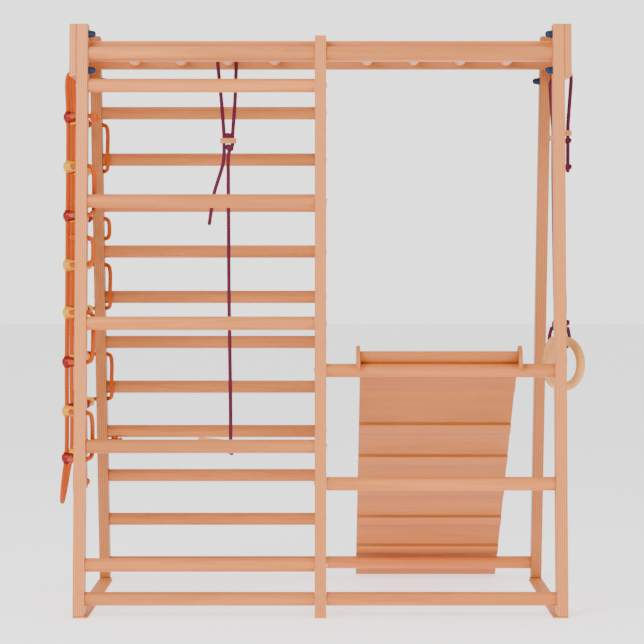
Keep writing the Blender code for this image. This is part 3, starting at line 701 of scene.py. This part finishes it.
def make_net(look):
    inner = -POST_X + POST_HALF
    inside = -PLATE_X + PLATE_HALF
    foot = net_y(NET_COLUMNS - 1, 0)
    first, last = post_middle(1, NET_ROWS[0]), post_middle(-1, NET_ROWS[-1])
    top = at((inside + 0.0165, net_y(0, 2.0), NET_HOLE_Z - 0.001))
    places = [(top, (1, 0, 0), 1.0), (at((net_x(NET_COLUMNS - 1), foot, 0.300)), (0, 0, 1), 1.0)]
    orange = ("frame", "orange_rope", look["orange"])
    ends = knots("net_upright_knots", *orange, places, NET_ROPE)
    route = uprights_route()
    rope("net_uprights_rope", *orange, route, NET_ROPE, route[0], "hanging", ends)
    start = at((inner + 0.0155, first, NET_ROWS[0] - 0.002))
    end = at((inner + 0.0200, last - 0.013, NET_ROWS[-1] + 0.001))
    places = [(start, (1, 0, -0.3), 1.0), (end, (1, -0.8, 0), 1.0)]
    ends = knots("net_row_knots", *orange, places, NET_ROPE)
    route = rows_route()
    rope("net_rows_rope", *orange, route, NET_ROPE, route[0], "taut", ends)
    make_clips(look)


def clip_into(bm, column, z):
    """A moulded clip: a rounded barrel across the net with collars where its two ropes go through."""
    x, y = net_x(column), net_y(column, z)
    middle = at((x + NET_ROW_INSIDE / 2, y, z - 0.001))
    rows, columns = 20, 24
    grid = []
    for i in range(1, rows):
        lift = math.pi * i / rows
        ring = []
        for j in range(columns):
            a = 2 * math.pi * j / columns
            out = abs(math.sin(lift)) ** 0.62
            ring.append(bm.verts.new(middle + Vector((
                -math.copysign(abs(math.cos(lift)) ** 0.80, math.cos(lift)) * 0.0195,
                out * math.cos(a) * 0.0122,
                out * math.sin(a) * 0.0138))))
        grid.append(ring)
    for near, far in zip(grid, grid[1:]):
        for j in range(columns):
            k = (j + 1) % columns
            bm.faces.new((near[j], near[k], far[k], far[j]))
    bm.faces.new(grid[0][::-1])
    bm.faces.new(grid[-1])
    collar = [(0.0056, 0.0), (0.0082, 0.0), (0.0086, 0.0012), (0.0078, 0.0030), (0.0064, 0.0036)]
    collar += [(0.0056, 0.0030)]
    row = (x + NET_ROW_INSIDE, y, z - 0.001)
    spots = [((row[0], row[1] + s * 0.0098, row[2]), (0, s, 0)) for s in (-1, 1)]
    spots += [((x, y, z - 0.001 + s * 0.0118), (0, 0, s)) for s in (-1, 1)]
    for place, axis in spots:
        ring_into(bm, collar, facing(place, axis))


def ring_into(bm, section, matrix, segments=24):
    """A closed section of (out, along) points, turned into a ring."""
    rows = []
    for j in range(segments):
        a = 2 * math.pi * j / segments
        spots = [Vector((out * math.cos(a), out * math.sin(a), along)) for out, along in section]
        rows.append([bm.verts.new(matrix @ p) for p in spots])
    for j in range(segments):
        near, far = rows[j], rows[(j + 1) % segments]
        for i in range(len(section)):
            k = (i + 1) % len(section)
            bm.faces.new((near[i], near[k], far[k], far[i]))


def make_clips(look):
    sets = {"R": bmesh.new(), "Y": bmesh.new()}
    rows = [z for z in NET_ROWS if z != NET_BARE_ROW]
    for column in range(NET_COLUMNS):
        for colour, z in zip(CLIP_COLOURS, rows):
            swap = {"R": "Y", "Y": "R"}[colour]
            clip_into(sets[colour if column % 2 == 0 else swap], column, z)
    mesh_object("net_clips_red", "frame", look["red"], sets["R"], 50)
    mesh_object("net_clips_yellow", "frame", look["yellow"], sets["Y"], 50)


def make_ring_set(label, spec, look):
    line = f"{label}_ring_line"
    burgundy = ("burgundy_rope", look["burgundy"])
    bar = spec["z"] + RING_RADIUS
    places = [
        (at((PLATE_X + 0.002, spec["y"], bar + 0.048)), (0, 0, 1), 1.05),
        (at((PLATE_X - 0.001, spec["y"], bar + 0.034)), (0.3, 0.2, 1), 0.80),
        (at((PLATE_X + STRAND_SPREAD, spec["y"], RING_TAIL_Z + 0.012)), (0, 0, 1), 0.95),
    ]
    hitch = [(at((PLATE_X + STRAND_SPREAD, spec["y"], RING_TOGGLE_Z - 0.020)), (0, 0, 1), 0.80)]
    knots(f"{label}_ring_hitch", f"{label}_ring_slider", *burgundy, hitch, BRAID)
    ends = knots(f"{label}_ring_rope_knots", line, *burgundy, places, BRAID)
    route = ring_rope_route(spec)
    rope(f"{label}_ring_rope", line, *burgundy, route, BRAID, route[-1], "hanging", ends)
    points, around, across = [], 96, 20
    bm = bmesh.new()
    for i in range(around):
        a = 2 * math.pi * i / around
        points.append(Vector((RING_RADIUS * math.cos(a), 0, RING_RADIUS * math.sin(a))))
    turn = Matrix.Translation(at((PLATE_X, spec["y"], spec["z"]))) @ Matrix.Rotation(spec["turn"], 4, "Z")
    tube_into(bm, [turn @ p for p in points], RING_BAR, across, closed=True)
    ring = mesh_object(f"{label}_ring_turned", f"{label}_hand_ring", look["pale"], bm)
    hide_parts(f"{label}_ring")
    slider = f"{label}_ring_slider"
    softened(f"{label}_ring_adjuster", slider, look["toggle"], 0.0024, 4)


def make_swing(look):
    foot = SWING_X + STICK_DRIFT
    middle, front, top = SWING_X + SWING_SHIFT, SWING_Y - 0.002, SWING_TOGGLE_Z
    burgundy = ("burgundy_rope", look["burgundy"])
    hitch = [
        (at((middle, front, top + 0.0135)), (0.2, 0, 1), 0.85),
        (at((middle + 0.004, front, top - 0.0185)), (0.3, 0.2, 1), 1.05),
    ]
    knots("swing_hitch", "swing_slider", *burgundy, hitch, BRAID)
    places = [(at((foot, SWING_Y, STICK_Z - 0.0195)), (0.2, 0, 1), 0.62)]
    ends = knots("swing_rope_knots", "swing_line", *burgundy, places, BRAID)
    route = swing_rope_route()
    rope("swing_rope", "swing_line", *burgundy, route, BRAID, route[-1], "hanging", ends)
    softened("swing_rope_adjuster", "swing_slider", look["toggle"], 0.0028, 4)
    bm = bmesh.new()
    half, radius = 0.090, 0.0125
    profile = [(0.004, -half), (0.0095, -half + 0.0006), (0.0116, -half + 0.0022), (radius, -half + 0.005)]
    profile += [(radius, -0.045), (radius, 0.0), (radius, 0.045)]
    profile += [(out, -along) for out, along in profile[3::-1]]
    tilt = Matrix.Rotation(STICK_TILT, 4, "Y") @ Matrix.Rotation(math.pi / 2, 4, "Y")
    place = Matrix.Translation(at((foot, SWING_Y, STICK_Z)))
    lathe_into(bm, profile, place @ tilt, 32)
    stick = mesh_object("swing_stick_turned", "swing_line", look["pale"], bm, 40)
    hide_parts("swing_stick")


def make_hardware(look):
    """Cap nuts inside the outer posts, bolt heads outside the plates, screw heads at the rungs' ends."""
    nuts, bolts, screws = bmesh.new(), bmesh.new(), bmesh.new()
    nut = [(0.0104, 0.0), (0.0106, 0.0010), (0.0106, 0.0042), (0.0100, 0.0052), (0.0093, 0.0056)]
    nut += [(0.0094, 0.0095), (0.0086, 0.0135), (0.0068, 0.0167), (0.0042, 0.0186), (0.0014, 0.0192)]
    bolt = [(0.0074, 0.0), (0.0072, 0.0008), (0.0060, 0.0019), (0.0036, 0.0025), (0.0010, 0.0026)]
    screw = [(0.0068, 0.0), (0.0067, 0.0008), (0.0056, 0.0020), (0.0036, 0.0027), (0.0025, 0.0028)]
    screw += [(0.0024, 0.0016), (0.0008, 0.0014)]
    for sign in (-1, 1):
        for side in (1, -1):
            for z in BOLTS:
                y = post_middle(side, z)
                matrix = facing((sign * (POST_X - POST_HALF), y, z), (-sign, 0, 0))
                lathe_into(nuts, nut, matrix, 36, lobes=6, depth=0.05)
                lathe_into(bolts, bolt, facing((sign * (PLATE_X + PLATE_HALF), y, z), (sign, 0, 0)))
    sets = (
        (1, -1, FRONT_LEFT_RUNGS), (1, 1, FRONT_RIGHT_RUNGS),
        (-1, -1, REAR_LEFT_RUNGS), (-1, 1, REAR_RIGHT_RUNGS),
    )
    for side, sign, heights in sets:
        for z in heights:
            y = post_middle(side, z)
            if z < 1.4:
                lathe_into(screws, screw, facing((sign * (POST_X + POST_HALF), y, z), (sign, 0, 0)), 20)
            lathe_into(screws, screw, facing((-sign * POST_HALF, y, z), (-sign, 0, 0)), 20)
    mesh_object("cap_nuts", "frame", look["navy"], nuts, 30)
    mesh_object("bolt_heads", "frame", look["steel"], bolts, 40)
    mesh_object("rung_screws", "frame", look["steel"], screws, 40)


# Woods of the CAD nodes

BEECH = (0.65, 0.200, 0.043)
PLY = (0.67, 0.225, 0.060)
BOARD = (0.52, 0.155, 0.033)
# Brightness factors by part, as painted light and shade: the rear posts, rear rung and rear beam are
# darkened as painted shade, and the front beam and monkey bars are lightened as painted light.
PAINTED_LIGHT_BY_PART = (
    ("monkey_bar", 1.22), ("rear_left_post", 0.70), ("rear_right_post", 0.74), ("rear_middle_post", 0.84),
    ("rear_left_rung", 0.90), ("rear_beam", 0.84), ("front_beam", 1.18),
)


def tone_with_painted_light(tone, tone_and_painted_light, warm):
    return (tone[0] * tone_and_painted_light, tone[1] * tone_and_painted_light * warm, tone[2] * tone_and_painted_light * warm)


def dress_frame():
    """Each wooden node in its own cut of wood, made lighter or darker by part as painted light and shade.
    Rungs and bars keep their shape; the rest is rounded.
    """
    for i, (name, node) in enumerate(sorted(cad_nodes.items())):
        random.seed(i * 7 + 3)
        # A random tone for each node, times its part's painted light or shade.
        tone_and_painted_light = random.uniform(0.94, 1.05) * next((t for key, t in PAINTED_LIGHT_BY_PART if name.startswith(key)), 1.0)
        warm = random.uniform(0.97, 1.02)
        if "_rung" in name or name.startswith("monkey_bar"):
            grain = "Y" if name.startswith("monkey_bar") else "X"
            node.data.materials.clear()
            material = wood(f"{name}_wood", tone_with_painted_light(BEECH, tone_and_painted_light, warm), grain, i, contrast=1.35)
            node.data.materials.append(material)
        elif name.endswith("_post") or name.endswith("_plate"):
            grain = "Z" if name.endswith("_post") else "Y"
            material = wood(f"{name}_wood", tone_with_painted_light(PLY, tone_and_painted_light, warm), grain, i, ply=(1, 0, 0))
            softened(name, "frame", material, 0.0022, hull=True)
        elif name.endswith("_strap"):
            material = wood(f"{name}_wood", shade(PLY, 1.02)[:3], "Y", i, ply=(0, 0, 1))
            softened(name, "frame", material, 0.0009, 2)
        elif name.endswith("_beam"):
            material = wood(f"{name}_wood", tone_with_painted_light(BEECH, tone_and_painted_light, warm), "X", i)
            softened(name, "frame", material, 0.0065, 4)
    up = (0, math.sin(SLIDE_SLOPE), math.cos(SLIDE_SLOPE))
    material = wood("slide_panel_wood", BOARD, "X", 91, ply=up, contrast=0.62, cleat_glue_and_shade=True)
    softened("slide_panel", "slide_board", material, 0.0009, 2)
    material = wood("slide_rail_wood", BOARD, "X", 92)
    softened("slide_stop_rail", "slide_board", material, 0.0022, 3)
    for side in ("left", "right"):
        material = wood(f"slide_hook_{side}_wood", BOARD, "Y", 93 + len(side), ply=(1, 0, 0))
        softened(f"slide_hook_{side}", "slide_board", material, 0.0018, 3)


# Stage


def area_light(name, place, aim, size, power):
    light = bpy.data.lights.new(name, "AREA")
    light.shape = "RECTANGLE"
    light.size, light.size_y = size
    light.energy = power
    lamp = bpy.data.objects.new(name, light)
    lamp.location = place
    lamp.rotation_euler = (Vector(aim) - Vector(place)).to_track_quat("-Z", "Y").to_euler()
    bpy.context.scene.collection.objects.link(lamp)


def make_stage():
    bm = bmesh.new()
    bmesh.ops.create_grid(bm, x_segments=2, y_segments=2, size=30)
    mesh = bpy.data.meshes.new("floor")
    bm.to_mesh(mesh)
    bm.free()
    floor = bpy.data.objects.new("floor", mesh)
    floor.location.z = -0.0005
    bpy.context.scene.collection.objects.link(floor)
    material, tree, shader = new_material("studio_floor")
    coord = add(tree, "ShaderNodeTexCoord")
    mottle = noise_node(tree, coord.outputs["Object"], 3.0, 2.0)
    colour = blend_colour(tree, mottle, (0.93, 0.93, 0.93, 1), (0.96, 0.96, 0.96, 1))
    tree.links.new(colour, shader.inputs["Base Color"])
    shader.inputs["Roughness"].default_value = 0.9
    shader.inputs["Emission Color"].default_value = (1, 1, 1, 1)
    shader.inputs["Emission Strength"].default_value = 1.05
    floor.data.materials.append(material)
    world = bpy.data.worlds.new("studio")
    bpy.context.scene.world = world
    world.use_nodes = True
    background = world.node_tree.nodes["Background"]
    background.inputs["Color"].default_value = (1.0, 0.995, 0.985, 1)
    path = add(world.node_tree, "ShaderNodeLightPath")
    strength = spread(world.node_tree, path.outputs["Is Camera Ray"], 0.0, 1.0, 0.85, 2.3)
    world.node_tree.links.new(strength, background.inputs["Strength"])
    area_light("key", (-2.2, -4.4, 3.4), (0, 0, 0.8), (2.4, 2.4), 250)
    area_light("fill", (3.4, -3.6, 1.6), (0, 0, 0.7), (2.4, 2.4), 80)
    area_light("top", (0, 0.4, 4.4), (0, 0, 0.6), (3.0, 3.0), 60)


def make_camera():
    camera = bpy.data.cameras.new("camera")
    camera.sensor_width = CAMERA_SENSOR
    camera.lens = CAMERA_LENS
    camera.clip_end = 100
    obj = bpy.data.objects.new("camera", camera)
    obj.location = at(CAMERA)
    obj.rotation_euler = (math.pi / 2 - CAMERA_DOWN, 0.0, -CAMERA_ASIDE)
    bpy.context.scene.collection.objects.link(obj)
    bpy.context.scene.camera = obj


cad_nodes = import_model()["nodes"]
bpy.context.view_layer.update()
make_camera()
make_stage()
looks = {
    "orange": braid("net_rope", (0.47, 0.068, 0.001), 0.0072),
    "burgundy": braid("burgundy_rope", (0.110, 0.010, 0.034), 0.0064),
    "pale": wood("pale_wood", (0.74, 0.335, 0.085), "X", 71, contrast=0.6),
    "toggle": wood("toggle_wood", (0.62, 0.235, 0.060), "X", 72, contrast=0.8),
    "red": moulded("red_clip", (0.23, 0.003, 0.002), (0.30, 0.40)),
    "yellow": moulded("yellow_clip", (0.70, 0.33, 0.0), (0.34, 0.44)),
    "navy": moulded("navy_cap", (0.006, 0.022, 0.062)),
    "steel": moulded("zinc_steel", (0.60, 0.57, 0.52), (0.28, 0.42), 1.0),
}
dress_frame()
make_net(looks)
for ring_label, ring_spec in RINGS.items():
    make_ring_set(ring_label, ring_spec, looks)
make_swing(looks)
make_hardware(looks)
